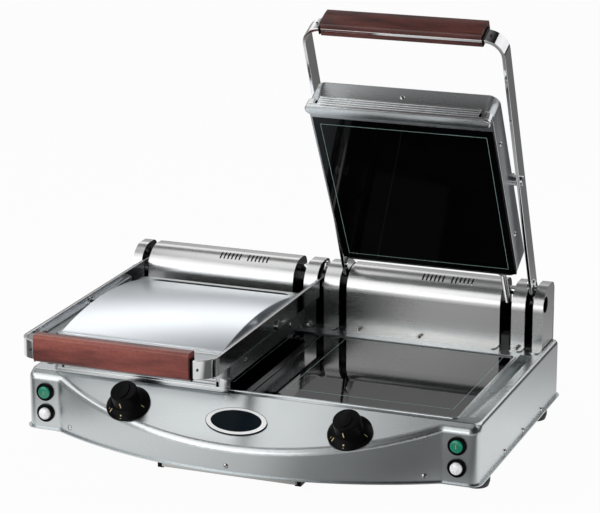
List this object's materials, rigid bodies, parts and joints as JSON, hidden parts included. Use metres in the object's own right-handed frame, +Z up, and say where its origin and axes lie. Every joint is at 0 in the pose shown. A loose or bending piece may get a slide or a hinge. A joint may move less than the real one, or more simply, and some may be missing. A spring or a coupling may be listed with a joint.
{
  "type": "double contact grill",
  "caption": "Countertop contact grill with a bowed steel base, glass plates and hinged glass-faced lids on flat steel arms with wooden grips.",
  "frame": {"origin": "middle of the whole footprint, on the worktop under the feet", "axes": "+X to the operator's right, +Y to the rear, +Z up"},
  "size_m": [0.619, 0.4668, 0.5633],
  "materials": {
    "badge_face": "dark blue-black enamel with a white rim",
    "black_glass": "black glass-ceramic with a thin printed line",
    "black_plastic": "black moulded plastic",
    "black_steel": "black coated sheet steel",
    "bright_steel": "polished bright steel",
    "bronze": "bronze",
    "brushed_steel": "brushed stainless steel",
    "clear_lens": "clear domed plastic",
    "green_lens": "green translucent plastic",
    "heater_rod": "oxidised steel heating rod",
    "rubber": "black rubber",
    "satin_cover": "satin stainless steel",
    "seal": "black silicone seal",
    "wood": "reddish oiled hardwood",
    "zinc_steel": "zinc plated steel"
  },
  "bodies": {
    "base": {"base_shell": "brushed_steel", "bottom_plate": "brushed_steel", "feet": "rubber", "shell_screws": "bright_steel", "glass_lower_left": "black_glass", "glass_lower_right": "black_glass", "glass_seal": "seal", "heater_pan_lower_left": "zinc_steel", "heater_pan_lower_right": "zinc_steel", "heater_coil_lower_left": "heater_rod", "heater_coil_lower_right": "heater_rod", "drain_pipes": "zinc_steel", "tray_runners": "black_plastic", "rear_frame": "black_steel", "cover_left_end": "brushed_steel", "cover_left_main": "brushed_steel", "cover_left_band": "brushed_steel", "cover_centre": "brushed_steel", "cover_right_main": "brushed_steel", "cover_right_band": "brushed_steel", "cover_right_end": "brushed_steel", "hinge_bushes": "bronze", "lid_spring_left": "zinc_steel", "lid_spring_right": "zinc_steel", "thermostats": "zinc_steel", "badge": "badge_face", "switch_housings": "black_plastic", "lamps": "clear_lens", "cord_gland": "black_plastic"},
    "lid_arms_left": {"lid_bar_left": "bright_steel", "lid_grip_left": "wood", "levers_left": "bright_steel", "hinge_shaft_left": "bright_steel"},
    "lid_plate_left": {"lid_body_left": "brushed_steel", "lid_cover_left": "satin_cover", "lid_glass_left": "black_glass", "lid_pan_left": "zinc_steel", "lid_coil_left": "heater_rod", "pivot_pins_left": "bright_steel", "lid_screws_left": "bright_steel", "conduit_left": "bright_steel"},
    "lid_arms_right": {"lid_bar_right": "bright_steel", "lid_grip_right": "wood", "levers_right": "bright_steel", "hinge_shaft_right": "bright_steel"},
    "lid_plate_right": {"lid_body_right": "brushed_steel", "lid_cover_right": "satin_cover", "lid_glass_right": "black_glass", "lid_pan_right": "zinc_steel", "lid_coil_right": "heater_rod", "pivot_pins_right": "bright_steel", "lid_screws_right": "bright_steel", "conduit_right": "bright_steel"},
    "dial_left": {"knob_left": "black_plastic", "spindle_left": "bright_steel"},
    "push_left": {"button_left": "green_lens"},
    "dial_right": {"knob_right": "black_plastic", "spindle_right": "bright_steel"},
    "push_right": {"button_right": "green_lens"},
    "tray": {"grease_tray": "zinc_steel"}
  },
  "joints": [
    {"name": "lid_hinge_left", "type": "hinge", "parent": "base", "child": "lid_arms_left", "pos_m": [-0.1475, 0.19637, 0.168], "axis": [-1, 0, 0], "range_deg": [0, 66.4]},
    {"name": "plate_tilt_left", "type": "hinge", "parent": "lid_arms_left", "child": "lid_plate_left", "pos_m": [-0.1475, -0.00532, 0.1495], "axis": [-1, 0, 0], "range_deg": [-5.1, 0]},
    {"name": "lid_hinge_right", "type": "hinge", "parent": "base", "child": "lid_arms_right", "pos_m": [0.1475, 0.19637, 0.168], "axis": [-1, 0, 0], "range_deg": [-66.4, 0]},
    {"name": "plate_tilt_right", "type": "hinge", "parent": "lid_arms_right", "child": "lid_plate_right", "pos_m": [0.1475, 0.09867, 0.34542], "axis": [-1, 0, 0], "range_deg": [0, 5.1]},
    {"name": "dial_turn_left", "type": "hinge", "parent": "base", "child": "dial_left", "pos_m": [-0.1495, -0.1766, 0.0796], "axis": [0, 0.515, -0.8572], "range_deg": [0, 300]},
    {"name": "push_left", "type": "slide", "parent": "base", "child": "push_left", "axis": [0, 1, 0], "range_m": [0, 0.003], "stiffness_N_per_m": 600, "springref_m": -0.001},
    {"name": "dial_turn_right", "type": "hinge", "parent": "base", "child": "dial_right", "pos_m": [0.1495, -0.1766, 0.0796], "axis": [0, 0.515, -0.8572], "range_deg": [0, 300]},
    {"name": "push_right", "type": "slide", "parent": "base", "child": "push_right", "axis": [0, 1, 0], "range_m": [0, 0.003], "stiffness_N_per_m": 600, "springref_m": -0.001},
    {"name": "tray_slide", "type": "slide", "parent": "base", "child": "tray", "axis": [0, -1, 0], "range_m": [0, 0.16]}
  ],
  "couplings": [
    {"joint": "plate_tilt_left", "follows": "lid_hinge_left", "ratio": -0.076807},
    {"joint": "plate_tilt_right", "follows": "lid_hinge_right", "ratio": -0.076807}
  ]
}
